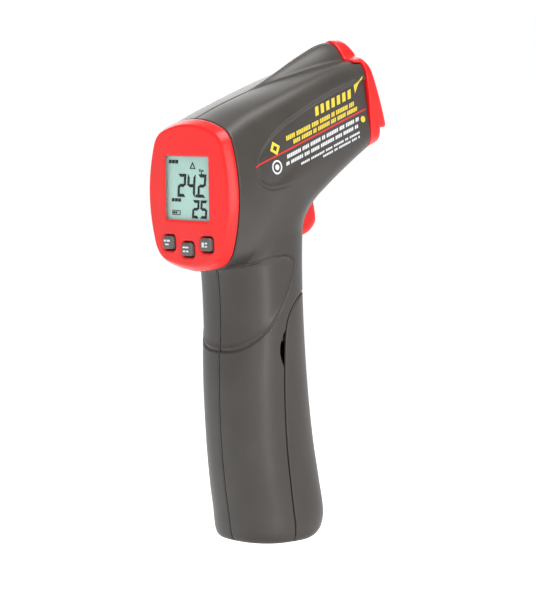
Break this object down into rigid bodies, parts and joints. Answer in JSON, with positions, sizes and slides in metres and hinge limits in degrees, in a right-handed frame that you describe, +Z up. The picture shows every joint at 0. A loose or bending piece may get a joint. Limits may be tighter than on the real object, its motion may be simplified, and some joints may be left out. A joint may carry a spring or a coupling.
{
  "type": "infrared thermometer",
  "caption": "Pistol-grip infrared thermometer with a rear display bezel, front lens and pointer cap, trigger, and hinged battery door in the handle.",
  "frame": {"origin": "middle of the bounding box on the underside of the handle", "axes": "+Z up along the handle, +Y the way the lens points, +X to the right of a person holding it; X=0 is the split between the housing halves"},
  "size_m": [0.0424, 0.073, 0.1569],
  "materials": {
    "red_plastic": "satin",
    "grey_plastic": "fine-textured satin",
    "key_rubber": "matte",
    "clear_plastic": "clear",
    "display_glass": "polished",
    "white_plastic": "matte",
    "circuit_board": "solder mask",
    "black_plastic": "matte",
    "steel": "plated",
    "laser_brass": "turned",
    "red_lead": "smooth",
    "foam": "open foam",
    "battery_case": "printed metal jacket"
  },
  "bodies": {
    "housing": {"display_bezel": "red_plastic", "front_cap": "red_plastic", "left_housing": "grey_plastic", "right_housing": "grey_plastic", "keypad_membrane": "key_rubber", "zebra_strip": "key_rubber", "laser_collar": "key_rubber", "lcd_window": "clear_plastic", "fresnel_lens": "clear_plastic", "laser_window": "clear_plastic", "lcd_glass": "display_glass", "backlight_panel": "white_plastic", "sensor_lead": "white_plastic", "display_board": "circuit_board", "main_board": "circuit_board", "switch_board": "circuit_board", "sensor_board": "circuit_board", "lens_tube": "black_plastic", "lens_retaining_ring": "black_plastic", "microcontroller": "black_plastic", "signal_amplifier": "black_plastic", "capacitor": "black_plastic", "buzzer": "black_plastic", "board_header": "black_plastic", "trigger_switch": "black_plastic", "battery_snap": "black_plastic", "battery_lead_negative": "black_plastic", "door_hinge_pin": "steel", "trigger_pin": "steel", "trigger_spring": "steel", "sensor_can": "steel", "crystal": "steel", "housing_screw_1": "steel", "housing_screw_2": "steel", "housing_screw_3": "steel", "housing_screw_4": "steel", "display_screw_1": "steel", "display_screw_2": "steel", "display_screw_3": "steel", "display_screw_4": "steel", "board_screw_1": "steel", "board_screw_2": "steel", "laser_module": "laser_brass", "battery_lead_positive": "red_lead", "laser_lead": "red_lead", "battery": "battery_case"},
    "door": {"battery_door": "grey_plastic", "foam_pad": "foam"},
    "trigger": {"trigger": "red_plastic"},
    "key_left": {"key_left": "key_rubber"},
    "key_middle": {"key_middle": "key_rubber"},
    "key_right": {"key_right": "key_rubber"}
  },
  "joints": [
    {"name": "door_hinge", "type": "hinge", "parent": "housing", "child": "door", "pos_m": [0, -0.0052, 0.0023], "axis": [-1, 0, 0], "range_deg": [0, 78]},
    {"name": "trigger_pull", "type": "hinge", "parent": "housing", "child": "trigger", "pos_m": [0, 0.0054, 0.113], "axis": [-1, 0, 0], "range_deg": [0, 8], "stiffness_Nm_per_rad": 0.12, "springref_deg": -6.88, "deforming": ["trigger_spring"]},
    {"name": "key_left_press", "type": "slide", "parent": "housing", "child": "key_left", "axis": [0, 1, 0], "range_m": [0, 0.0007], "stiffness_N_per_m": 900, "springref_m": -0.0006},
    {"name": "key_middle_press", "type": "slide", "parent": "housing", "child": "key_middle", "axis": [0, 1, 0], "range_m": [0, 0.0007], "stiffness_N_per_m": 900, "springref_m": -0.0006},
    {"name": "key_right_press", "type": "slide", "parent": "housing", "child": "key_right", "axis": [0, 1, 0], "range_m": [0, 0.0007], "stiffness_N_per_m": 900, "springref_m": -0.0006}
  ]
}
